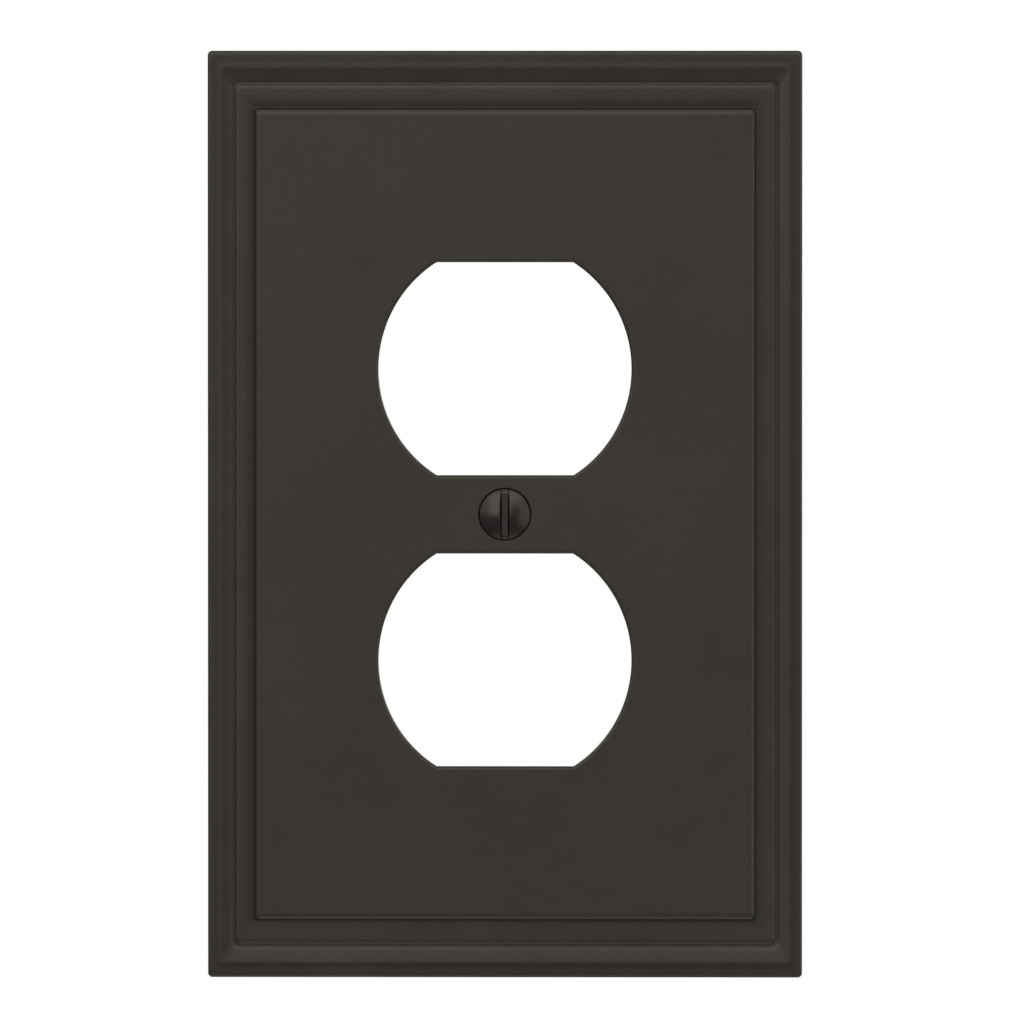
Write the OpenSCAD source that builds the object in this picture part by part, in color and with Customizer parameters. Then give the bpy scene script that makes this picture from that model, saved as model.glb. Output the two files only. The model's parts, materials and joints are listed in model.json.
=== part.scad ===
// Wall plate cover for a duplex receptacle: a cast metal plate with a hollow back, a beaded and
// stepped border and a raised panel, and the oval-head screw that holds it on.
// The front faces -Y, +Z is up, and the back rim lies on the wall plane, y = 0.
// The origin is where the screw's axis crosses the wall plane.
// Inside the modules the plate lies on its back: x is right, y is up the plate, z is away from the wall.

/* [Plate] */
// Width of the plate
plate_w = 79.4; // [76:0.1:90]
// Height of the plate
plate_h = 123.8; // [120:0.1:135]
// Depth from the wall plane to the face of the raised panel
plate_d = 6.3; // [6:0.1:8]
// Radius of the four outer corners
corner_r = 0.6; // [0.2:0.1:2]
// Thickness of the metal behind the front face
wall_t = 1.7; // [1.5:0.1:2]

/* [Border, measured in from the top and bottom edges] */
// Width of the side borders as a share of the top and bottom ones
side_share = 0.815; // [0.7:0.005:1]
// Height of the straight outer edge above the wall plane
edge_z = 5.1; // [4.9:0.05:5.3]
// Height of the plate's shoulder, where its rounded outer edge ends
shoulder_z = 5.56; // [5.5:0.02:5.6]
// Distance in to the start of the bead
step_in = 1.4; // [1.2:0.05:1.6]
// Height at the start of the bead
step_z = 5.6; // [5.6:0.01:5.64]
// Distance in to the crest of the bead
bead_in = 2.15; // [2.05:0.05:2.25]
// Height of the bead's crest
bead_z = 5.7; // [5.68:0.02:5.8]
// Distance in to the bead's inner edge
bead_edge_in = 3.65; // [3.5:0.05:3.7]
// Height of the bead's inner edge
bead_edge_z = 5.42; // [5.38:0.02:5.5]
// Distance in to the valley between the bead and the middle band
valley_in = 4.12; // [4.1:0.01:4.2]
// Height of the valley
valley_z = 5.18; // [5.14:0.02:5.3]
// Distance in to the foot of the middle band
band_foot_in = 4.36; // [4.3:0.02:4.4]
// Distance in to the crest of the middle band
band_in = 4.84; // [4.8:0.02:5]
// Height of the middle band's crest
band_z = 5.5; // [5.48:0.02:5.6]
// Distance in to where the middle band starts to fall
band_edge_in = 6.6; // [6.2:0.1:6.8]
// Distance in to the groove around the panel
groove_in = 7.6; // [7.5:0.02:7.7]
// Height of the groove around the panel
groove_z = 5.42; // [5.38:0.02:5.46]
// Distance in to the edge of the raised panel
panel_in = 7.95; // [7.9:0.05:8.2]

/* [Receptacle openings] */
// Distance between the centres of the openings
opening_pitch = 38.9; // [38.5:0.05:39.5]
// Diameter of each opening's round sides
opening_dia = 33.8; // [33:0.1:34.6]
// Distance between the flat top and bottom of each opening
opening_h = 28.45; // [28:0.05:29]
// Bevel around each opening's front edge
opening_bevel = 0.4; // [0.1:0.05:0.6]

/* [Screw hole] */
// Diameter of the clearance hole
hole_dia = 4; // [3.8:0.1:4.4]
// Diameter of the countersink at the panel's face
sink_dia = 7.2; // [7:0.1:7.6]
// Included angle of the countersink and of the screw head
sink_angle = 82; // [80:1:90]
// Diameter of the boss behind the hole
boss_dia = 9.4; // [8:0.1:9.8]
// Height of the boss's back face above the wall plane
boss_z = 2.6; // [1:0.1:3.4]

/* [Screw] */
// Diameter of the head
head_dia = 6.7; // [6.4:0.1:6.9]
// Height of the head's dome
dome_h = 0.95; // [0.7:0.05:1.2]
// Height of the straight band around the head
land_h = 0.1; // [0.05:0.05:0.2]
// Gap between the head and the countersink, square to the axis
seat_gap = 0.04; // [0.02:0.01:0.08]
// Width of the screwdriver slot
slot_w = 1.1; // [0.9:0.05:1.3]
// Depth of the slot below the top of the dome
slot_depth = 0.7; // [0.5:0.05:0.9]
// Diameter of the plain neck under the head
neck_dia = 3; // [2.8:0.05:3.3]
// Outside diameter of the 6-32 thread
thread_dia = 3.505; // [3.4:0.005:3.51]
// Length of the screw from the head's widest ring to its tip
screw_l = 12.7; // [12.7:0.1:25.4]
// Height of the bevel on the screw's tip
tip_bevel = 0.4; // [0.2:0.1:0.6]

/* [Hidden] */
bronze = [0.23, 0.22, 0.20];
over = 1;
$fn = 96;

// Roundings: how far each starts before its corner and how far past it each ends
arc_steps = 8;
shoulder_after = 0.65;
bead_edge_round = 0.1;
band_before = 0.3;
band_after = 0.4;
panel_before = 0.5;
panel_after = 0.9;

// The slant of the countersink: how far it widens for each millimetre it rises
slant = tan(sink_angle / 2);
head_r = head_dia / 2;
neck_r = neck_dia / 2;
thread_r = thread_dia / 2;
land_z = plate_d - (sink_dia / 2 - head_r - seat_gap) / slant;
rim_z = land_z + land_h;
dome_r = (head_r * head_r + dome_h * dome_h) / (2 * dome_h);
tip_z = rim_z - screw_l;
neck_end_z = boss_z - 0.2;

// Direction from one point to another, with length 1
function toward(from, to) = (to - from) / norm(to - from);

// Points along a line of corners [point, before, after]. Where `before` isn't 0, a quarter ellipse
// rounds the corner, from `before` millimetres short of it to `after` millimetres past it.
function rounded(corners) = [
    for (i = [0:len(corners) - 1])
        let (
            here = corners[i][0],
            soft = corners[i][1] > 0,
            back = soft ? toward(here, corners[i - 1][0]) * corners[i][1] : [0, 0],
            ahead = soft ? toward(here, corners[i + 1][0]) * corners[i][2] : [0, 0]
        )
        for (a = soft ? [0:90 / arc_steps:90] : [0])
            here + back * (1 - sin(a)) + ahead * (1 - cos(a))
];

// The profile and its mirror image, closed across a span
module section(profile, span, share) {
    near = [for (p = profile) [p[0] * share - span / 2, p[1]]];
    far = [for (i = [len(near) - 1:-1:0]) [-near[i][0], near[i][1]]];
    polygon(concat(near, far));
}

// The profile carried round all four sides, mitred at the corners
module mitred(profile) {
    intersection() {
        rotate([90, 0, 90])
            linear_extrude(plate_w + over, center = true) section(profile, plate_h, 1);
        rotate([90, 0, 0])
            linear_extrude(plate_h + over, center = true) section(profile, plate_w, side_share);
    }
}

// Upright block with rounded corners that trims the plate's outline
module outline_block() {
    flat_w = plate_w - 2 * corner_r;
    flat_h = plate_h - 2 * corner_r;
    linear_extrude(plate_d + over) {
        square([plate_w, flat_h], center = true);
        square([flat_w, plate_h], center = true);
        for (x = [-1, 1], y = [-1, 1])
            translate([x * flat_w / 2, y * flat_h / 2]) circle(corner_r);
    }
}

// The stepped front, solid down to the wall plane
module relief() {
    difference() {
        intersection() {
            mitred(rounded([
                [[0, 0], 0, 0],
                [[0, shoulder_z], shoulder_z - edge_z, shoulder_after],
                [[step_in, step_z], 0, 0],
                [[bead_in, bead_z], 0, 0]
            ]));
            outline_block();
        }
        mitred(rounded([
            [[bead_in, plate_d + over], 0, 0],
            [[bead_in, bead_z], 0, 0],
            [[bead_edge_in, bead_edge_z], bead_edge_round, bead_edge_round],
            [[valley_in, valley_z], 0, 0]
        ]));
    }
    difference() {
        mitred(rounded([
            [[band_foot_in, 0], 0, 0],
            [[band_foot_in, valley_z], 0, 0],
            [[band_in, band_z], band_before, band_after],
            [[band_edge_in, band_z], 0, 0]
        ]));
        mitred(rounded([
            [[band_edge_in, plate_d + over], 0, 0],
            [[band_edge_in, band_z], 0, 0],
            [[groove_in, groove_z], 0, 0]
        ]));
    }
    mitred(rounded([
        [[groove_in, 0], 0, 0],
        [[groove_in, groove_z], 0, 0],
        [[panel_in, plate_d], panel_before, panel_after],
        [[panel_in + panel_after + over, plate_d], 0, 0]
    ]));
}

// The hollow back, which follows the steps of the front one wall thickness behind them
module hollow() {
    for (step = [[0, valley_z], [valley_in, groove_z], [groove_in, plate_d]]) {
        hollow_w = plate_w - 2 * (step[0] * side_share + wall_t);
        hollow_h = plate_h - 2 * (step[0] + wall_t);
        roof = step[1] - wall_t;
        translate([-hollow_w / 2, -hollow_h / 2, -over]) cube([hollow_w, hollow_h, roof + over]);
    }
}

// One receptacle opening: round sides, flat top and bottom, bevelled at the front
module opening() {
    translate([0, 0, -over]) intersection() {
        cylinder(d = opening_dia, h = plate_d + 2 * over);
        translate([-opening_dia, -opening_h / 2, 0])
            cube([2 * opening_dia, opening_h, plate_d + 2 * over]);
    }
    flat = opening_h / 2;
    bevel = opening_bevel + over;
    translate([0, 0, plate_d - opening_bevel]) intersection() {
        cylinder(d1 = opening_dia, d2 = opening_dia + 2 * bevel, h = bevel);
        rotate([90, 0, 90]) linear_extrude(2 * opening_dia, center = true)
            polygon([[-flat, 0], [flat, 0], [flat + bevel, bevel], [-flat - bevel, bevel]]);
    }
}

// Clearance hole with its countersink
module screw_hole() {
    sink_h = (sink_dia - hole_dia) / 2 / slant;
    translate([0, 0, -over]) cylinder(d = hole_dia, h = plate_d + 2 * over);
    translate([0, 0, plate_d - sink_h])
        cylinder(d1 = hole_dia, d2 = sink_dia + 2 * over * slant, h = sink_h + over);
}

module wall_plate() {
    color(bronze) rotate([90, 0, 0]) difference() {
        union() {
            difference() {
                relief();
                hollow();
            }
            translate([0, 0, boss_z]) cylinder(d = boss_dia, h = plate_d - boss_z - wall_t / 2);
        }
        for (side = [-1, 1]) translate([0, side * opening_pitch / 2, 0]) opening();
        screw_hole();
    }
}

// Slotted oval head: a straight band and the dome above it
module screw_head() {
    difference() {
        intersection() {
            translate([0, 0, land_z]) cylinder(r = head_r, h = land_h + dome_h + over);
            translate([0, 0, rim_z + dome_h - dome_r]) sphere(dome_r);
        }
        translate([-slot_w / 2, -head_dia, rim_z + dome_h - slot_depth])
            cube([slot_w, 2 * head_dia, slot_depth + over]);
    }
}

// Cone of the head, plain neck, and the thread's envelope down to the bevelled tip
module screw_shank() {
    rotate_extrude() polygon([
        [0, tip_z],
        [thread_r - tip_bevel, tip_z],
        [thread_r, tip_z + tip_bevel],
        [thread_r, neck_end_z],
        [neck_r, neck_end_z],
        [neck_r, land_z - (head_r - neck_r) / slant],
        [head_r, land_z],
        [0, land_z]
    ]);
}

module mounting_screw() {
    color(bronze) rotate([90, 0, 0]) {
        screw_head();
        screw_shank();
    }
}

wall_plate();
mounting_screw();
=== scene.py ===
import json
import math
from collections import namedtuple

import bpy
import numpy as np
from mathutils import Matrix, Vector
from mathutils.geometry import delaunay_2d_cdt


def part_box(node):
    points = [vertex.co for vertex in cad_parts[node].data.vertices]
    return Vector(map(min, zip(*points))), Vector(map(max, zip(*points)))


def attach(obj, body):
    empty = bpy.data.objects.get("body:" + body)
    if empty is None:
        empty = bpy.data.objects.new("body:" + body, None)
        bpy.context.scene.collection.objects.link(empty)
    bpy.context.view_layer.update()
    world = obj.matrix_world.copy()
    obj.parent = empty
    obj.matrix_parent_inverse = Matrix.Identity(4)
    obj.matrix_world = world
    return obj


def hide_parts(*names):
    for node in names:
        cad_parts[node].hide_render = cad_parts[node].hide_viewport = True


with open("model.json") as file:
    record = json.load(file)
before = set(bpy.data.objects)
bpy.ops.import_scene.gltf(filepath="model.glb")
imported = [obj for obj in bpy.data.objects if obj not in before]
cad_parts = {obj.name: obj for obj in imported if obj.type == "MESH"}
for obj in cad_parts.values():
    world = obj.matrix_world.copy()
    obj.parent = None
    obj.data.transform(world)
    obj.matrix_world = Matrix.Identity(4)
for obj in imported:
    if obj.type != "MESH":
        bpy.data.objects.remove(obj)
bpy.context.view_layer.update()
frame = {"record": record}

# Shapes are worked out in millimetres on the plate's own axes: x to the right, y up the plate,
# z away from the wall. to_frame() carries them over to the row frame, in metres.
MM = 0.001

plate_low, plate_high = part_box("wall_plate")
screw_low, screw_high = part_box("mounting_screw")
mounts = {mount["name"]: mount for mount in frame["record"]["mounts"]}

PLATE_W = (plate_high.x - plate_low.x) / MM
PLATE_H = (plate_high.z - plate_low.z) / MM
PLATE_D = -plate_low.y / MM
HEAD_TOP = -screw_low.y / MM
SCREW_TIP = -screw_high.y / MM
HEAD_R = (screw_high.x - screw_low.x) / 2 / MM

# Border, as distances in from the top and bottom edges. The side borders are narrower by SIDE_SHARE.
SIDE_SHARE = 0.815
EDGE_Z, SHOULDER_Z = 5.1, 5.56
STEP_IN, STEP_Z = 1.4, 5.6
BEAD_IN, BEAD_Z = 2.15, 5.7
BEAD_EDGE_IN, BEAD_EDGE_Z = 3.65, 5.42
VALLEY_IN, VALLEY_Z = 4.12, 5.18
BAND_FOOT_IN, BAND_IN, BAND_Z = 4.36, 4.84, 5.5
BAND_EDGE_IN = 6.6
GROOVE_IN, GROOVE_Z = 7.6, 5.42
PANEL_IN = 7.95

# Relief is above 0 on edges, painted lighter as rubbed wear and painted highlight, and below 0 in
# hollows, painted darker as shade. A bend gives no less than DEEPEST. A corner's painted shade fades
# out along the section over the reach below, and spares an edge whose relief is above the threshold
# below.
RELIEF_GAIN, DEEPEST = 0.6, -0.5
SHADE_REACH, WORN_AND_LIT = 2.6, 0.1
# The slot's brink gets a painted highlight; the countersink ring, the head's flank and the slot's walls
# get a painted shadow.
BRINK_HIGHLIGHT, SHADOW_RELIEF = 0.7, -1.0

# Hollow back
WALL_T = 1.7
SHELF_Z, LEDGE_Z, ROOF_Z = 3.48, 3.72, 4.6
RIM_FILLET, RIM_ROUND = 0.6, 0.2
STEP_FILLET, STEP_EDGE = 0.3, 0.1

# Receptacle openings
OPENING_R = 33.8 / 2
OPENING_HALF_H = 28.45 / 2
OPENING_CORNER_R = 0.35
OPENING_ROUND = 0.45
OPENING_BACK_ROUND = 0.12

# Screw hole and the boss behind it
HOLE_R, SINK_R = 2.0, 3.6
SINK_SLANT = math.tan(math.radians(41))
BOSS_R, BOSS_Z, BOSS_FILLET = 4.7, 2.6, 0.25

# Screw. The slot's brink curls over above its wall. The dome is a grid of its own up to HEAD_EDGE from
# the head's widest ring, and its foot lies just inside the land.
DOME_H, LAND_H = 0.95, 0.1
DOME_FOOT_IN, DOME_FOOT_UP = 0.005, 0.01
SLOT_HALF_W, SLOT_DEPTH = 0.63, 0.7
SLOT_BRINK, SLOT_WALL = 0.16, 0.27
BRINK_DROP, WALL_CURVE, FLOOR_EASE = 0.14, 1.6, 0.05
HEAD_EDGE, LAND_ROUND, NECK_FILLET = 0.14, 0.03, 0.2
NECK_R = 1.5
THREAD_R = mounts["screw_thread"]["dims"]["r_mm"]
THREAD_TOP_Z = 2.4
NECK_GAP = 0.2
THREAD_PITCH = 25.4 / 32
THREAD_DEPTH = 0.47
TIP_BEVEL = 0.4

# Thread form: the first two are shares of half a pitch, the last two are shares of a whole one, and
# FLANK_EASE is how far the flank bends from straight
CREST_FLAT, FLANK = 0.12, 0.7
FLANK_EASE = 0.3
RUN_OUT, TIP_FADE = 0.8, 0.5

# Mesh density
BEND_STEPS = 8
CORNER_STEPS = 10
LONG_STEPS, SHORT_STEPS = 18, 12
OPENING_SIDE, OPENING_CORNER, OPENING_FLAT = 41, 7, 11
HOLE_POINTS = 96
HEAD_COLUMNS, HEAD_ROWS = 25, 49
THREAD_AROUND, THREAD_PER_PITCH = 48, 12
PLATE_SPACING, TIP_SPACING = 4.0, 0.6

# Points that round to the same multiple of WELD are one. A curved surface's slope is measured over
# NUDGE to each side.
WELD = 1e-4
NUDGE = 1e-4

# Studio, in metres and degrees. The camera aims just right of the plate's middle and just above it.
CAMERA_DISTANCE, CAMERA_AZIMUTH, CAMERA_ELEVATION = 2.2, 1.0, 1.5
AIM_X, AIM_Z = 0.00096, 0.00034
FRAME_WIDTH = 0.1367
FLOOR_R, FLOOR_Z = 2.0, -0.6
FLOOR_RINGS, FLOOR_SIDES = 12, 96
LAMPS = [
    # name, azimuth, elevation, distance, width, height, radiance
    ("front", 0, 10, 3.0, 1.6, 0.9, 1.0),
    ("key", 3, 42, 1.3, 1.9, 0.7, 1.35),
    ("top", 0, 72, 1.3, 1.6, 0.6, 0.4),
    ("left_front", -26, 10, 1.4, 0.5, 0.6, 1.6),
    ("left", -58, 22, 1.3, 1.1, 1.1, 0.55),
    ("right", 58, 0, 1.3, 1.1, 1.3, 0.6),
    ("right_side", 92, 12, 1.3, 0.9, 1.1, 0.9),
    ("below", 0, -75, 0.55, 0.6, 0.3, 1.0),
    ("back_left", -150, 25, 1.6, 1.0, 0.8, 4.0),
    ("back_right", 150, 15, 1.6, 1.0, 0.8, 3.0),
]

# A corner of a path. Its rounding starts `before` millimetres short of it and ends `after` past it.
# On the border it also has the radius of the outline's own corner there, and the painted shade that
# darkens the colour around it.
Corner = namedtuple("Corner", "point before after radius grime", defaults=(0, 0, 0, 0))


def to_frame(points):
    """Points or directions on the plate's axes, turned to the row frame."""
    points = np.asarray(points, float)
    return np.stack([points[..., 0], -points[..., 2], points[..., 1]], axis=-1)


def unit(vectors):
    """Vectors scaled to length 1."""
    vectors = np.asarray(vectors, float)
    return vectors / np.maximum(np.linalg.norm(vectors, axis=-1, keepdims=True), 1e-12)


# ---------------------------------------------------------------- paths


def rounded_path(corners):
    """Stations along a line whose corners are rounded by quarter ellipses, but for its two ends.

    Gives points, directions, and how strongly each station is an edge (+) or a hollow (-).
    """
    points = [np.asarray(corner.point, float) for corner in corners]
    stations, directions, relief = [points[0]], [unit(points[1] - points[0])], [0.0]
    for index in range(1, len(points) - 1):
        corner, before, after = points[index], corners[index].before, corners[index].after
        back = unit(points[index - 1] - corner) * before
        ahead = unit(points[index + 1] - corner) * after
        turn = back[-1] * ahead[-2] - back[-2] * ahead[-1]
        bend = 1 - np.dot(-unit(back), unit(ahead))
        sharp = math.sqrt(min(1.0, bend)) / (before + after)
        for step in range(BEND_STEPS + 1):
            angle = math.pi / 2 * step / BEND_STEPS
            point = corner + back * (1 - math.sin(angle)) + ahead * (1 - math.cos(angle))
            if np.linalg.norm(point - stations[-1]) < WELD:
                continue
            stations.append(point)
            directions.append(unit(ahead * math.sin(angle) - back * math.cos(angle)))
            edge = -np.sign(turn) * math.sin(2 * angle) * min(1.0, RELIEF_GAIN * sharp)
            relief.append(max(DEEPEST, edge))
    if np.linalg.norm(points[-1] - stations[-1]) > WELD:
        stations.append(points[-1])
        directions.append(unit(points[-1] - points[-2]))
        relief.append(0.0)
    return np.array(stations), np.array(directions), np.array(relief)


# ---------------------------------------------------------------- mesh building


class Skin:
    """Collects faces with exact normals and welds their vertices as they come in."""

    def __init__(self):
        self.points, self.index = [], {}
        self.faces, self.normals = [], []
        self.relief, self.cast = [], []

    def vertex(self, point, relief=0.0, cast=0.0):
        """The number of the vertex at a point. A weld keeps the stronger relief."""
        key = tuple(int(round(value / WELD)) for value in point)
        if key not in self.index:
            self.index[key] = len(self.points)
            self.points.append(tuple(point))
            self.relief.append(relief)
            self.cast.append(cast)
        found = self.index[key]
        if abs(relief) > abs(self.relief[found]):
            self.relief[found] = relief
        return found

    def face(self, corners, normals):
        """A face with a normal at each corner, unless welding has left it fewer than three."""
        kept = [
            at for at, corner in enumerate(corners)
            if corner != corners[at - 1]
        ]
        if len(kept) > 2:
            self.faces.append([corners[at] for at in kept])
            self.normals.append([normals[at] for at in kept])

    def grid(self, points, normals, relief, cast, closed=True):
        """Quads over rows of stations and columns around, turned to face along their normals."""
        rows, columns = points.shape[:2]
        relief = np.broadcast_to(np.asarray(relief, float).reshape(-1, 1), (rows, columns))
        cast = np.broadcast_to(np.asarray(cast, float).reshape(-1, 1), (rows, columns))
        index = [
            [self.vertex(points[i, j], relief[i, j], cast[i, j]) for j in range(columns)]
            for i in range(rows)
        ]
        span = range(columns if closed else columns - 1)
        cells = [
            ((i, j), (i, (j + 1) % columns), (i + 1, (j + 1) % columns), (i + 1, j))
            for i in range(rows - 1) for j in span
        ]
        facing = sum(
            np.dot(
                np.cross(points[c[1]] - points[c[0]], points[c[3]] - points[c[0]]),
                normals[c[0]],
            )
            for c in cells
        )
        for cell in cells:
            order = cell if facing > 0 else cell[::-1]
            self.face([index[i][j] for i, j in order], [normals[at] for at in order])

    def band(self, upper, lower):
        """Triangles between two rings round the z axis that have different numbers of points."""
        rings = []
        for ring in (upper, lower):
            turns = np.arctan2(ring[:, 1], ring[:, 0])
            order = np.argsort(turns)
            corners = [self.vertex(ring[at]) for at in order]
            around = [(math.cos(turns[at]), math.sin(turns[at]), 0.0) for at in order]
            steps = list(turns[order]) + [turns[order[0]] + 2 * math.pi]
            rings.append((corners + corners[:1], around + around[:1], steps))
        (top, top_way, top_turns), (foot, foot_way, foot_turns) = rings
        i = j = 0
        while i < len(top) - 1 or j < len(foot) - 1:
            along_top = j == len(foot) - 1 or (
                i < len(top) - 1 and top_turns[i + 1] < foot_turns[j + 1]
            )
            if along_top:
                self.face([top[i + 1], top[i], foot[j]], [top_way[i + 1], top_way[i], foot_way[j]])
                i += 1
            else:
                self.face([top[i], foot[j], foot[j + 1]], [top_way[i], foot_way[j], foot_way[j + 1]])
                j += 1

    def flat(self, loops, z, up, spacing, cast=0.0):
        """A level face inside the first loop and outside the others, with points inside it."""
        outer, holes, margin = loops[0], loops[1:], 0.35 * spacing
        low, high = outer.min(axis=0), outer.max(axis=0)
        counts = [max(2, int(round(span / spacing))) for span in high - low]
        seeds = [
            (x, y)
            for x in np.linspace(low[0], high[0], counts[0] + 1)[1:-1]
            for y in np.linspace(low[1], high[1], counts[1] + 1)[1:-1]
            if depth_inside((x, y), outer) > margin
            and all(depth_inside((x, y), hole) < -margin for hole in holes)
        ]
        flat_points = [tuple(point) for loop in loops for point in loop] + seeds
        edges, owner, start = [], [], 0
        for number, loop in enumerate(loops):
            count = len(loop)
            edges += [(start + at, start + (at + 1) % count) for at in range(count)]
            owner += [number] * count
            start += count
        owner += [-1] * len(seeds)
        places, _, triangles, sources = delaunay_2d_cdt(
            [Vector(point) for point in flat_points], edges, [], 0, 1e-6,
        )[:4]
        normal = (0.0, 0.0, 1.0 if up else -1.0)
        for triangle in triangles:
            owners = {owner[sources[at][0]] for at in triangle}
            if len(owners) == 1 and owners.pop() > 0:
                continue
            order = triangle if up else triangle[::-1]
            corners = [self.vertex((*places[at], z), 0.0, cast) for at in order]
            self.face(corners, [normal] * 3)

    def build(self, name, material):
        """The finished object, in metres in the row frame."""
        mesh = bpy.data.meshes.new(name)
        mesh.from_pydata(to_frame(self.points) * MM, [], self.faces)
        mesh.polygons.foreach_set("use_smooth", [True] * len(mesh.polygons))
        loop_normals = unit(to_frame([normal for face in self.normals for normal in face]))
        mesh.normals_split_custom_set([tuple(normal) for normal in loop_normals])
        for label, values in (("relief", self.relief), ("cast", self.cast)):
            attribute = mesh.attributes.new(label, "FLOAT", "POINT")
            attribute.data.foreach_set("value", np.array(values, np.float32))
        mesh.materials.append(material)
        built = bpy.data.objects.new(name, mesh)
        bpy.context.scene.collection.objects.link(built)
        return built


def depth_inside(point, loop):
    """How far inside a convex anticlockwise loop the point lies, and less than 0 outside it."""
    sides = unit(np.roll(loop, -1, axis=0) - loop)
    away = np.asarray(point) - loop
    return np.min(sides[:, 0] * away[:, 1] - sides[:, 1] * away[:, 0])


# ---------------------------------------------------------------- the plate


def rounded_rectangle(station, direction, radius, radius_slope):
    """One turn round the plate at a station (side inset, end inset, height), with its normals."""
    side, end, height = station
    half_w, half_h = PLATE_W / 2 - side, PLATE_H / 2 - end
    points, normals = [], []
    for corner in range(4):
        turn = np.linspace(corner, corner + 1, CORNER_STEPS + 1) * math.pi / 2
        ray = np.stack([np.cos(turn), np.sin(turn)], axis=1)
        sign = np.sign(np.cos(turn[CORNER_STEPS // 2])), np.sign(np.sin(turn[CORNER_STEPS // 2]))
        centre = np.array([sign[0] * (half_w - radius), sign[1] * (half_h - radius)])
        across, along = np.abs(ray[:, 0]), np.abs(ray[:, 1])
        lift = direction[0] * across + direction[1] * along
        lift = lift + radius_slope * (across + along - 1)
        plan = centre + ray * radius
        points.append(np.column_stack([plan, np.full(len(plan), height)]))
        normals.append(unit(np.column_stack([ray * direction[2], lift])))
    ring, ring_normals = [], []
    for corner in range(4):
        following = (corner + 1) % 4
        steps = SHORT_STEPS if corner % 2 == 0 else LONG_STEPS
        share = np.linspace(0, 1, steps + 1)[1:-1, None]
        ring += [points[corner], points[corner][-1] * (1 - share) + points[following][0] * share]
        ring_normals += [normals[corner], np.repeat(normals[corner][-1:], steps - 1, axis=0)]
    return np.concatenate(ring), np.concatenate(ring_normals)


def inset(step, height, wall=0.0):
    """A point of the border: `step` in from the ends, less at the sides, then a wall's thickness."""
    return step * SIDE_SHARE + wall, step + wall, height


def border_corners():
    """The border's section, from the roof of the hollow, round the rim, to the raised panel."""
    inner = WALL_T
    return [
        Corner(inset(GROOVE_IN, ROOF_Z, inner + 0.5), radius=1.2),
        Corner(inset(GROOVE_IN, ROOF_Z, inner), STEP_FILLET, STEP_FILLET, radius=1.2),
        Corner(inset(GROOVE_IN, LEDGE_Z, inner), STEP_EDGE, STEP_EDGE, radius=1.5),
        Corner(inset(VALLEY_IN, LEDGE_Z, inner), STEP_EDGE, STEP_EDGE, radius=1.5),
        Corner(inset(VALLEY_IN, SHELF_Z, inner), STEP_EDGE, STEP_EDGE, radius=1.8),
        Corner(inset(0, SHELF_Z, inner), RIM_FILLET, RIM_FILLET, radius=1.2),
        Corner(inset(0, 0, inner), RIM_ROUND, RIM_ROUND, radius=1.2),
        Corner(inset(0, 0), RIM_ROUND, RIM_ROUND, radius=0.6),
        Corner(inset(0, SHOULDER_Z), SHOULDER_Z - EDGE_Z, 0.65, radius=0.6),
        # Painted shade darkens the colour around this step.
        Corner(inset(STEP_IN, STEP_Z), 0.15, 0.15, radius=0.6, grime=0.5),
        Corner(inset(BEAD_IN, BEAD_Z), 0.3, 0.4, radius=0.7),
        Corner(inset(BEAD_EDGE_IN, BEAD_EDGE_Z), 0.1, 0.1, radius=1.1),
        Corner(inset(VALLEY_IN, VALLEY_Z), 0.12, 0.1, radius=0.95),
        Corner(inset(BAND_FOOT_IN, VALLEY_Z), 0.08, 0.1, radius=0.8),
        Corner(inset(BAND_IN, BAND_Z), 0.3, 0.4, radius=0.65),
        Corner(inset(BAND_EDGE_IN, BAND_Z), 0.6, 0.6, radius=0.6),
        # Painted shade darkens the colour along this groove.
        Corner(inset(GROOVE_IN, GROOVE_Z), 0.15, 0.12, radius=0.6, grime=0.6),
        Corner(inset(PANEL_IN, PLATE_D), 0.5, 0.9, radius=0.5),
        Corner(inset(PANEL_IN + 1.0, PLATE_D), radius=0.4),
    ]


def add_border(skin):
    """Sweeps the border's section round the plate. Returns the roof's and the panel's outlines."""
    corners = border_corners()
    stations, directions, relief = rounded_path(corners)
    length = np.concatenate([[0], np.cumsum(np.linalg.norm(np.diff(stations, axis=0), axis=1))])
    knots = [
        length[np.argmin(np.linalg.norm(stations - np.array(corner.point), axis=1))]
        for corner in corners
    ]
    radii = np.interp(length, knots, [corner.radius for corner in corners])
    # Painted shade: the colour darkens around the step and the groove, fading along the section, but
    # not on edges lightened above the threshold.
    for corner, knot in zip(corners, knots):
        painted_darkening = -corner.grime * np.maximum(0, 1 - np.abs(length - knot) / SHADE_REACH)
        relief = np.where(relief > WORN_AND_LIT, relief, np.minimum(relief, painted_darkening))
    slopes = np.gradient(radii, length)
    rings = [
        rounded_rectangle(*station)
        for station in zip(stations, directions, radii, slopes)
    ]
    points = np.array([ring[0] for ring in rings])
    normals = np.array([ring[1] for ring in rings])
    rim_end = np.argmax(stations[:, 2] < WELD)
    cast = [1.0 if at <= rim_end else 0.0 for at in range(len(stations))]
    skin.grid(points, normals, relief, cast)
    return points[0][:, :2], points[-1][:, :2]


def arc(centre, radius, turns):
    """Points of an arc round a centre, with its outward directions."""
    rays = np.array([(math.cos(turn), math.sin(turn)) for turn in turns])
    return np.array(centre) + rays * radius, rays


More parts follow.
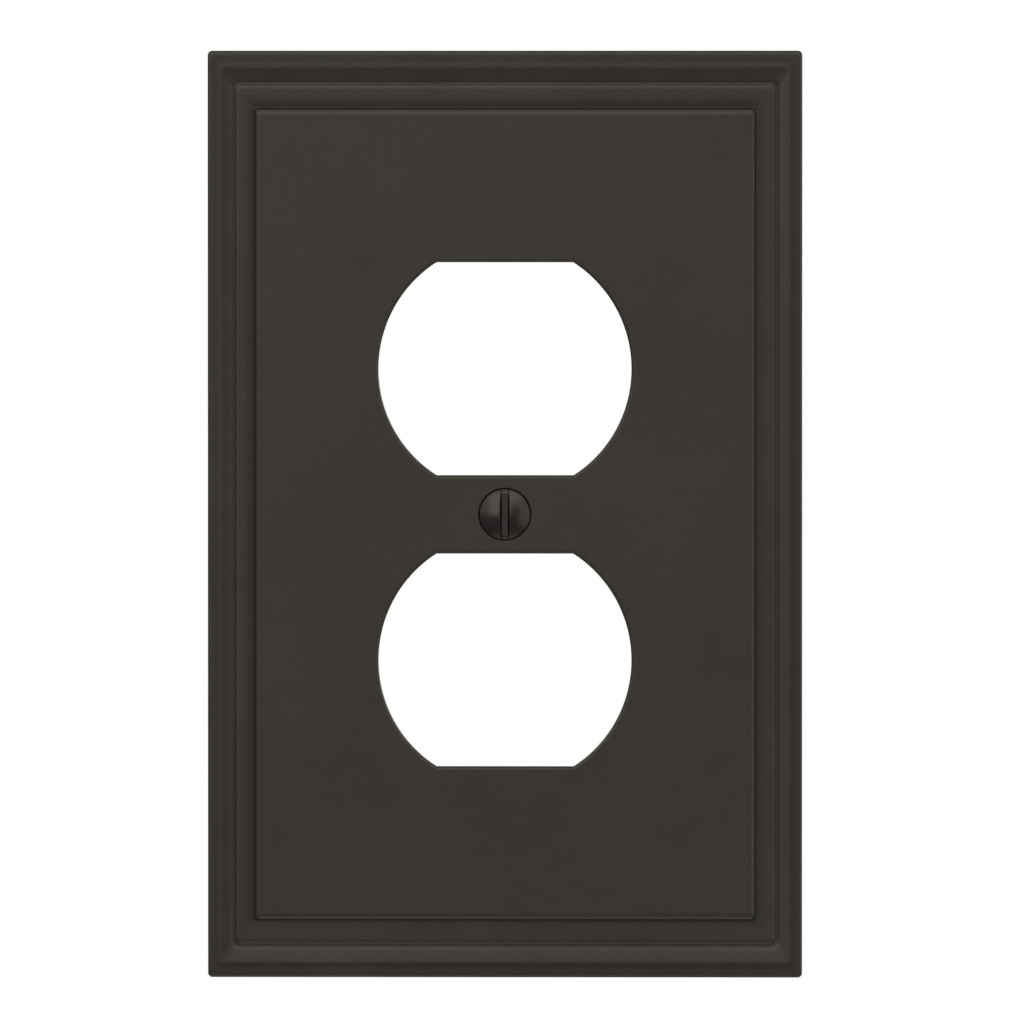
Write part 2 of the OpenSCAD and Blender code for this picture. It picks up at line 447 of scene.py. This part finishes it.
def opening_outline():
    """The receptacle opening's outline round its own centre, with its outward directions."""
    reach = OPENING_R - OPENING_CORNER_R
    corner_y = OPENING_HALF_H - OPENING_CORNER_R
    corner_x = math.sqrt(reach ** 2 - corner_y ** 2)
    meet = math.atan2(corner_y, corner_x)
    right_turns = np.linspace(meet, math.pi / 2, OPENING_CORNER)[1:]
    left_turns = np.linspace(math.pi / 2, math.pi - meet, OPENING_CORNER)[:-1]
    flat_x = corner_x * (1 - 2 * np.linspace(0, 1, OPENING_FLAT)[1:-1])
    flat = np.array([(x, OPENING_HALF_H) for x in flat_x])
    parts = [
        arc((0, 0), OPENING_R, np.linspace(-meet, meet, OPENING_SIDE)),
        arc((corner_x, corner_y), OPENING_CORNER_R, right_turns),
        (flat, np.array([(0.0, 1.0)] * len(flat))),
        arc((-corner_x, corner_y), OPENING_CORNER_R, left_turns),
    ]
    points, outward = [np.concatenate(part) for part in zip(*parts)]
    return np.concatenate([points, -points]), np.concatenate([outward, -outward])


def circle_outline(count):
    """Points all at the centre, with the directions of a circle round it."""
    turn = np.arange(count) * 2 * math.pi / count
    return np.zeros((count, 2)), np.stack([np.cos(turn), np.sin(turn)], axis=1)


def sweep(outward, stations, directions):
    """A ring of directions carried along stations of (distance out, height), with its normals."""
    points, normals = [], []
    for (reach, height), (reach_way, height_way) in zip(stations, directions):
        level = np.full(len(outward), height)
        points.append(np.column_stack([outward * reach, level]))
        normals.append(np.column_stack([-outward * height_way, np.full(len(outward), reach_way)]))
    return np.array(points), np.array(normals)


def add_bore(skin, centre, outline, corners, cast_below, gap_below=0.0):
    """Sweeps an outline along a path through the plate. Returns its first and last loops.

    It is bare casting below `cast_below`, and painted dark as shadow from there up to `gap_below`.
    """
    base, outward = outline
    stations, directions, relief = rounded_path(corners)
    # Painted shadow: the ring between cast_below and gap_below is coloured dark.
    relief[(stations[:, 1] < gap_below) & (stations[:, 1] >= cast_below)] = SHADOW_RELIEF
    points, normals = sweep(outward, stations, directions)
    points[..., :2] += np.asarray(centre) + base
    cast = [1.0 if height < cast_below else 0.0 for height in stations[:, 1]]
    skin.grid(points, normals, relief, cast)
    return points[0][:, :2], points[-1][:, :2]


def make_plate(material):
    """The cast plate, front and back, as one mesh.

    The paths of its openings and its hole start and end a little way out on the flat faces.
    """
    skin = Skin()
    roof, panel = add_border(skin)
    roof_loops, panel_loops = [roof], [panel]
    opening_path = [
        Corner((0.16, ROOF_Z)),
        Corner((0.0, ROOF_Z), OPENING_BACK_ROUND, OPENING_BACK_ROUND),
        Corner((0.0, PLATE_D), OPENING_ROUND, OPENING_ROUND),
        Corner((0.6, PLATE_D)),
    ]
    for name in ("upper_opening", "lower_opening"):
        place = mounts[name]["pos_m"]
        centre = (place[0] / MM, place[2] / MM)
        below, above = add_bore(
            skin, centre, opening_outline(), opening_path, cast_below=ROOF_Z + 0.3,
        )
        roof_loops.append(below)
        panel_loops.append(above)
    cone_z = PLATE_D - (SINK_R - HOLE_R) / SINK_SLANT
    hole_path = [
        Corner((BOSS_R + 0.3, ROOF_Z)),
        Corner((BOSS_R, ROOF_Z), BOSS_FILLET, BOSS_FILLET),
        Corner((BOSS_R, BOSS_Z), STEP_EDGE, STEP_EDGE),
        Corner((HOLE_R, BOSS_Z), 0.12, 0.12),
        Corner((HOLE_R, cone_z), 0.08, 0.08),
        Corner((SINK_R, PLATE_D), 0.1, 0.06),
        Corner((SINK_R + 0.2, PLATE_D)),
    ]
    # The countersink's exposed ring round the screw head is painted dark as shadow.
    below, above = add_bore(
        skin, (0, 0), circle_outline(HOLE_POINTS), hole_path,
        cast_below=cone_z, gap_below=PLATE_D - 0.015,
    )
    roof_loops.append(below)
    panel_loops.append(above)
    skin.flat(roof_loops, ROOF_Z, False, PLATE_SPACING, cast=1.0)
    skin.flat(panel_loops, PLATE_D, True, PLATE_SPACING)
    return skin.build("cast_plate", material)


# ---------------------------------------------------------------- the screw


def soft_minimum(first, second, blend):
    """The lower of two heights, eased over `blend` where they cross."""
    mix = np.clip(0.5 + (second - first) / (2 * blend), 0, 1)
    return second * (1 - mix) + first * mix - blend * mix * (1 - mix)


def head_height(x, y):
    """Height of the screw head's top over a point: the dome, with the slot sunk into it."""
    dome_r = (HEAD_R ** 2 + DOME_H ** 2) / (2 * DOME_H)
    dome = HEAD_TOP - dome_r + np.sqrt(dome_r ** 2 - x ** 2 - y ** 2)
    floor = soft_minimum(dome, HEAD_TOP - SLOT_DEPTH, FLOOR_EASE)
    outside = np.abs(x) - SLOT_HALF_W
    curl = 1 - np.clip(outside / SLOT_BRINK, 0, 1)
    sunk = BRINK_DROP * (1 - np.sqrt(1 - curl ** 2))
    steep = np.clip(-outside / SLOT_WALL, 0, 1)
    sunk = sunk + (1 - sunk) * (1 - (1 - steep) ** WALL_CURVE) * (outside < 0)
    return dome * (1 - sunk) + floor * sunk


def add_head(skin):
    """The head's top, as columns across it. Returns the ring of points at its rim, and its radius."""
    wall_shares = (1, 0.8, 0.6, 0.4, 0.2, 0)
    brink_shares = (0.02, 0.08, 0.2, 0.35, 0.55, 0.8, 1)
    top_r = HEAD_R - HEAD_EDGE
    half = [0.0, 0.14, 0.28]
    half += [SLOT_HALF_W - SLOT_WALL * share for share in wall_shares]
    half += [SLOT_HALF_W + SLOT_BRINK * share for share in brink_shares]
    start = math.asin((SLOT_HALF_W + SLOT_BRINK) / top_r)
    half += [top_r * math.sin(turn) for turn in np.linspace(start, math.pi / 2, HEAD_COLUMNS)[1:]]
    columns = np.array([-x for x in half[:0:-1]] + half)
    rows = np.sin(np.linspace(-math.pi / 2, math.pi / 2, HEAD_ROWS))
    x = np.repeat(columns[:, None], len(rows), axis=1)
    y = rows[None, :] * np.sqrt(np.maximum(top_r ** 2 - x ** 2, 0))
    z = head_height(x, y)
    slope_x = (head_height(x + NUDGE, y) - head_height(x - NUDGE, y)) / (2 * NUDGE)
    slope_y = (head_height(x, y + NUDGE) - head_height(x, y - NUDGE)) / (2 * NUDGE)
    normals = unit(np.stack([-slope_x, -slope_y, np.ones_like(x)], axis=-1))
    outside = np.abs(columns) - SLOT_HALF_W
    # The slot's walls are painted dark as shade, and its brink painted lighter as a highlight.
    wall = (outside < 0) & (outside > -0.95 * SLOT_WALL)
    brink = (outside >= 0) & (outside < 0.7 * SLOT_BRINK)
    relief = BRINK_HIGHLIGHT * brink + SHADOW_RELIEF * wall
    skin.grid(np.stack([x, y, z], axis=-1), normals, relief, 0.0, closed=False)
    rim = np.concatenate([
        np.stack([x[:, 0], y[:, 0]], axis=1),
        np.stack([x[::-1, -1], y[::-1, -1]], axis=1)[1:-1],
    ])
    return rim, top_r


def add_shank(skin, rim, top_r):
    """The head's land and cone, down to the plain neck. Returns the ring at the neck's end."""
    land_z = HEAD_TOP - DOME_H - LAND_H
    cone_end = land_z - (HEAD_R - NECK_R) / SINK_SLANT
    top_z = head_height(top_r, 0.0)
    path = [
        Corner((top_r, top_z)),
        Corner((HEAD_R - DOME_FOOT_IN, HEAD_TOP - DOME_H + DOME_FOOT_UP), LAND_ROUND, LAND_ROUND),
        Corner((HEAD_R, land_z), LAND_ROUND, LAND_ROUND),
        Corner((NECK_R, cone_end), NECK_FILLET, NECK_FILLET),
        Corner((NECK_R, THREAD_TOP_Z + NECK_GAP)),
    ]
    stations, directions, relief = rounded_path(path)
    # The head's land and cone below the dome are painted dark as shadow.
    relief[(stations[:, 1] < HEAD_TOP - DOME_H) & (stations[:, 1] > cone_end)] = SHADOW_RELIEF
    points, normals = sweep(unit(rim), stations, directions)
    points[0][:, 2] = head_height(rim[:, 0], rim[:, 1])
    skin.grid(points, normals, relief, 0.0)
    return points[-1]


def thread_radius(phase, height):
    """Radius of the thread at a phase of its pitch, run out at the neck and bevelled at the tip."""
    ramp = np.abs(((phase + 0.5) % 1) - 0.5) * 2
    crest = 1 - np.clip((ramp - CREST_FLAT) / FLANK, 0, 1)
    smooth = crest * crest * (3 - 2 * crest)
    eased = smooth * FLANK_EASE + crest * (1 - FLANK_EASE)
    body = THREAD_R - THREAD_DEPTH * (1 - eased)
    start = np.clip((THREAD_TOP_Z - height) / (RUN_OUT * THREAD_PITCH), 0, 1)
    body = NECK_R + (body - NECK_R) * start
    finish = THREAD_R - TIP_BEVEL + np.maximum(height - SCREW_TIP, 0)
    fade = np.clip((height - SCREW_TIP) / (TIP_FADE * THREAD_PITCH), 0, 1)
    root_fill = (THREAD_R - TIP_BEVEL) * (1 - fade) + body * fade
    return np.minimum(np.maximum(body, root_fill * (1 - fade)), finish)


def add_thread(skin):
    """The right-hand helical thread. Its mesh follows the helix. Returns its top and tip rings."""
    turns = math.ceil((THREAD_TOP_Z - SCREW_TIP) / THREAD_PITCH) + 2
    rows = np.arange(turns * THREAD_PER_PITCH + 1)
    columns = np.arange(THREAD_AROUND + 1)
    row, column = np.meshgrid(rows, columns, indexing="ij")
    turn = column * 2 * math.pi / THREAD_AROUND
    climb = row / THREAD_PER_PITCH + column / THREAD_AROUND
    free = SCREW_TIP - THREAD_PITCH + climb * THREAD_PITCH
    height = np.clip(free, SCREW_TIP, THREAD_TOP_Z)

    def place(turn, height):
        reach = thread_radius((height - SCREW_TIP) / THREAD_PITCH - turn / (2 * math.pi), height)
        return np.stack([reach * np.cos(turn), reach * np.sin(turn), height], axis=-1)

    points = place(turn, height)
    around_way = place(turn + NUDGE, height) - place(turn - NUDGE, height)
    up_way = place(turn, height + NUDGE) - place(turn, height - NUDGE)
    normals = unit(np.cross(around_way, up_way))
    skin.grid(points, normals, np.zeros(len(rows)), 0.0, closed=False)
    return points[-1][:-1], points[0][:-1]


def make_screw(material):
    """The oval-head screw, slot, neck and thread, as one mesh."""
    skin = Skin()
    rim, top_r = add_head(skin)
    neck_ring = add_shank(skin, rim, top_r)
    thread_ring, tip_ring = add_thread(skin)
    skin.band(neck_ring, thread_ring)
    skin.flat([tip_ring[:, :2]], SCREW_TIP, False, TIP_SPACING)
    return skin.build("oval_head_screw", material)


# ---------------------------------------------------------------- materials


def feed(tree, socket, value):
    """Gives an input a value, or links another node's output to it."""
    if isinstance(value, bpy.types.NodeSocket):
        tree.links.new(value, socket)
    else:
        socket.default_value = value


def add_node(tree, kind, inputs=None, **settings):
    """A node of that kind, with its settings and its inputs."""
    node = tree.nodes.new(kind)
    for name, value in settings.items():
        setattr(node, name, value)
    for name, value in (inputs or {}).items():
        feed(tree, node.inputs[name], value)
    return node


def noise(tree, place, size, detail=2.0, roughness=0.5):
    """Noise whose features are about `size` millimetres across."""
    return add_node(tree, "ShaderNodeTexNoise", {
        "Vector": place, "Scale": 1 / (size * MM), "Detail": detail, "Roughness": roughness,
    }).outputs["Fac"]


def remap(tree, value, from_low, from_high, to_low, to_high):
    """The value carried from one range to another, and held inside it."""
    return add_node(tree, "ShaderNodeMapRange", {
        "Value": value, "From Min": from_low, "From Max": from_high,
        "To Min": to_low, "To Max": to_high,
    }).outputs["Result"]


def calculate(tree, operation, first, second):
    """A Math node's result."""
    node = add_node(tree, "ShaderNodeMath", operation=operation)
    for socket, value in zip(node.inputs, (first, second)):
        feed(tree, socket, value)
    return node.outputs["Value"]


def blend_colours(tree, share, first, second):
    """The first colour turned into the second by a share."""
    node = add_node(tree, "ShaderNodeMix", data_type="RGBA")
    for name, value in (("Factor_Float", share), ("A_Color", first), ("B_Color", second)):
        feed(tree, next(s for s in node.inputs if s.identifier == name), value)
    return next(s for s in node.outputs if s.identifier == "Result_Color")


def bronze_lacquer(name, base, light, shade_colour, bare, metal, gloss, peel):
    """Satin dark bronze lacquer over cast metal: cloudy, finely pebbled, painted lighter on its edges
    as rubbed wear and highlight, and painted darker in hollows as shade.

    Where `cast` is 1 the coat is thin, and the rough `bare` metal shows through it in clouds.
    """
    material = bpy.data.materials.new(name)
    material.use_nodes = True
    tree = material.node_tree
    tree.nodes.clear()
    place = add_node(tree, "ShaderNodeTexCoord").outputs["Object"]
    relief = add_node(tree, "ShaderNodeAttribute", attribute_name="relief").outputs["Fac"]
    cast = add_node(tree, "ShaderNodeAttribute", attribute_name="cast").outputs["Fac"]

    # Colour: clouds, mottle and specks, then paler on edges as rubbed wear and painted highlight, dark
    # in hollows as painted shade, and bare in clouds
    cloud = noise(tree, place, 16.0, detail=3.0)
    mottle = noise(tree, place, 2.4, detail=3.0, roughness=0.6)
    speckle = noise(tree, place, 0.22, roughness=0.6)
    lighter = remap(tree, cloud, 0.35, 0.65, 0.0, 0.16)
    lighter = calculate(tree, "ADD", lighter, remap(tree, mottle, 0.35, 0.7, 0.0, 0.08))
    lighter = calculate(tree, "ADD", lighter, remap(tree, speckle, 0.45, 0.75, 0.0, 0.2))
    # Edges lighter: rubbed wear and painted highlight
    wear_and_highlight = calculate(tree, "MULTIPLY", remap(tree, relief, 0.1, 0.9, 0.0, 1.0),
                     remap(tree, mottle, 0.3, 0.6, 0.3, 1.0))
    lighter = calculate(tree, "ADD", lighter, calculate(tree, "MULTIPLY", wear_and_highlight, 0.5))
    # Hollows darker: painted shade
    shaded_hollow = remap(tree, relief, -0.9, -0.1, 1.0, 0.0)
    colour = blend_colours(tree, lighter, (*base, 1.0), (*light, 1.0))
    colour = blend_colours(tree, calculate(tree, "MULTIPLY", shaded_hollow, 0.9), colour, (*shade_colour, 1.0))
    thin = calculate(tree, "MULTIPLY", cast, remap(tree, cloud, 0.35, 0.65, 0.25, 0.75))
    thin = calculate(tree, "MULTIPLY", thin, remap(tree, mottle, 0.3, 0.6, 0.6, 1.0))
    colour = blend_colours(tree, thin, colour, (*bare, 1.0))

    # Roughness: uneven with the mottle, and duller on the casting and in hollows
    dull = remap(tree, mottle, 0.3, 0.7, gloss - 0.03, gloss + 0.04)
    dull = calculate(tree, "ADD", dull, calculate(tree, "MULTIPLY", cast, 0.16))
    dull = calculate(tree, "ADD", dull, calculate(tree, "MULTIPLY", shaded_hollow, 0.08))

    # Bump: orange peel with a little grit, and sand-cast grain where the casting is bare
    pebble = noise(tree, place, 0.75, roughness=0.45)
    grit = noise(tree, place, 0.16)
    sand = noise(tree, place, 0.9, detail=4.0, roughness=0.65)
    fine = calculate(tree, "ADD", pebble, calculate(tree, "MULTIPLY", grit, 0.25))
    rough_cast = calculate(tree, "MULTIPLY", sand, calculate(tree, "MULTIPLY", cast, 6.0))
    bump = add_node(tree, "ShaderNodeBump", {
        "Height": calculate(tree, "ADD", fine, rough_cast),
        "Strength": 1.0, "Distance": peel * MM,
    })
    shader = add_node(tree, "ShaderNodeBsdfPrincipled", {
        "Base Color": colour, "Roughness": dull, "Metallic": metal, "Normal": bump.outputs["Normal"],
    })
    shader.inputs["IOR"].default_value = 1.5
    output = add_node(tree, "ShaderNodeOutputMaterial")
    tree.links.new(shader.outputs["BSDF"], output.inputs["Surface"])
    return material


# ---------------------------------------------------------------- studio


def direction_to(azimuth, elevation):
    """A direction in degrees, from the plate: azimuth 0 is in front of it and 90 to its right."""
    turn, rise = math.radians(azimuth), math.radians(elevation)
    return Vector((
        math.sin(turn) * math.cos(rise), -math.cos(turn) * math.cos(rise), math.sin(rise),
    ))


def make_camera():
    """A long lens straight in front of the plate, a degree to the right and a little above."""
    aim = Vector((AIM_X, plate_low.y, AIM_Z))
    back = direction_to(CAMERA_AZIMUTH, CAMERA_ELEVATION)
    lens = bpy.data.cameras.new("camera")
    lens.sensor_width = 36.0
    lens.lens = lens.sensor_width * CAMERA_DISTANCE / FRAME_WIDTH
    camera = bpy.data.objects.new("camera", lens)
    camera.location = aim + back * CAMERA_DISTANCE
    camera.rotation_mode = "QUATERNION"
    camera.rotation_quaternion = (-back).to_track_quat("-Z", "Y")
    bpy.context.scene.collection.objects.link(camera)
    bpy.context.scene.camera = camera


def make_lamp(name, azimuth, elevation, distance, width, height, radiance):
    """A softbox that faces the plate from a direction and a distance, unseen by the camera.

    Its power grows with its area, so that `radiance` is how bright its face is.
    """
    away = direction_to(azimuth, elevation)
    lamp = bpy.data.lights.new(name, "AREA")
    lamp.shape = "RECTANGLE"
    lamp.size, lamp.size_y = width, height
    lamp.energy = radiance * math.pi * width * height
    softbox = bpy.data.objects.new(name, lamp)
    softbox.location = away * distance
    softbox.rotation_mode = "QUATERNION"
    softbox.rotation_quaternion = (-away).to_track_quat("-Z", "Y")
    softbox.visible_camera = False
    bpy.context.scene.collection.objects.link(softbox)


def make_floor(material):
    """A round pale floor below the main view. It neither lights the plate nor shows in its gloss."""
    points = [(0.0, 0.0, FLOOR_Z)]
    faces = []
    for ring in range(1, FLOOR_RINGS + 1):
        for side in range(FLOOR_SIDES):
            turn = 2 * math.pi * side / FLOOR_SIDES
            reach = FLOOR_R * ring / FLOOR_RINGS
            points.append((reach * math.cos(turn), reach * math.sin(turn), FLOOR_Z))
    for ring in range(FLOOR_RINGS):
        for side in range(FLOOR_SIDES):
            near, following = ring * FLOOR_SIDES + 1, (side + 1) % FLOOR_SIDES
            if ring == 0:
                faces.append((0, 1 + side, 1 + following))
            else:
                inner = near - FLOOR_SIDES
                faces.append((inner + side, near + side, near + following, inner + following))
    mesh = bpy.data.meshes.new("floor")
    mesh.from_pydata(points, [], faces)
    mesh.materials.append(material)
    floor = bpy.data.objects.new("floor", mesh)
    floor.visible_diffuse = False
    floor.visible_glossy = False
    bpy.context.scene.collection.objects.link(floor)
    return floor


def pale_paper(glow):
    """Matt white paper that glows faintly, and turns transparent towards the floor's rim."""
    material = bpy.data.materials.new("pale_paper")
    material.use_nodes = True
    tree = material.node_tree
    tree.nodes.clear()
    place = add_node(tree, "ShaderNodeTexCoord").outputs["Object"]
    reach = add_node(tree, "ShaderNodeVectorMath", {"Vector": place}, operation="LENGTH")
    fade = remap(tree, reach.outputs["Value"], 0.45 * FLOOR_R, 0.98 * FLOOR_R, 1.0, 0.0)
    grain = noise(tree, place, 1.5)
    paper = blend_colours(tree, grain, (0.88, 0.88, 0.87, 1.0), (0.92, 0.92, 0.91, 1.0))
    shader = add_node(tree, "ShaderNodeBsdfPrincipled", {"Base Color": paper, "Alpha": fade})
    shader.inputs["Roughness"].default_value = 0.8
    shader.inputs["Emission Color"].default_value = (1.0, 1.0, 1.0, 1.0)
    shader.inputs["Emission Strength"].default_value = glow
    output = add_node(tree, "ShaderNodeOutputMaterial")
    tree.links.new(shader.outputs["BSDF"], output.inputs["Surface"])
    return material


def make_world(around):
    """White to the camera, and a dim even light to everything else."""
    world = bpy.data.worlds.new("studio")
    bpy.context.scene.world = world
    world.use_nodes = True
    tree = world.node_tree
    tree.nodes.clear()
    seen = add_node(tree, "ShaderNodeLightPath").outputs["Is Camera Ray"]
    strength = remap(tree, seen, 0.0, 1.0, around, 1.0)
    light = add_node(tree, "ShaderNodeBackground", {"Strength": strength})
    light.inputs["Color"].default_value = (1.0, 1.0, 1.0, 1.0)
    output = add_node(tree, "ShaderNodeOutputWorld")
    tree.links.new(light.outputs["Background"], output.inputs["Surface"])


make_camera()
make_world(around=0.14)
for lamp in LAMPS:
    make_lamp(*lamp)

make_floor(pale_paper(glow=0.3))

# The lacquer's third colour is painted shade for hollows; its second also lightens edges as rubbed wear
# and painted highlight.
plate = make_plate(bronze_lacquer(
    "bronze_plate", (0.050, 0.043, 0.0325), (0.085, 0.077, 0.066), (0.022, 0.018, 0.013),
    bare=(0.15, 0.145, 0.135), metal=0.4, gloss=0.42, peel=0.004,
))
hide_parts("wall_plate")
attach(plate, "plate")

# The screw's third colour is painted shadow for the countersink ring and the slot's walls; its second
# also lightens the slot's brink as a painted highlight.
screw = make_screw(bronze_lacquer(
    "bronze_screw", (0.058, 0.050, 0.045), (0.094, 0.083, 0.074), (0.012, 0.009, 0.007),
    bare=(0.15, 0.145, 0.135), metal=0.85, gloss=0.3, peel=0.003,
))
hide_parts("mounting_screw")
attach(screw, "screw")

bpy.context.scene.view_settings.view_transform = "Standard"
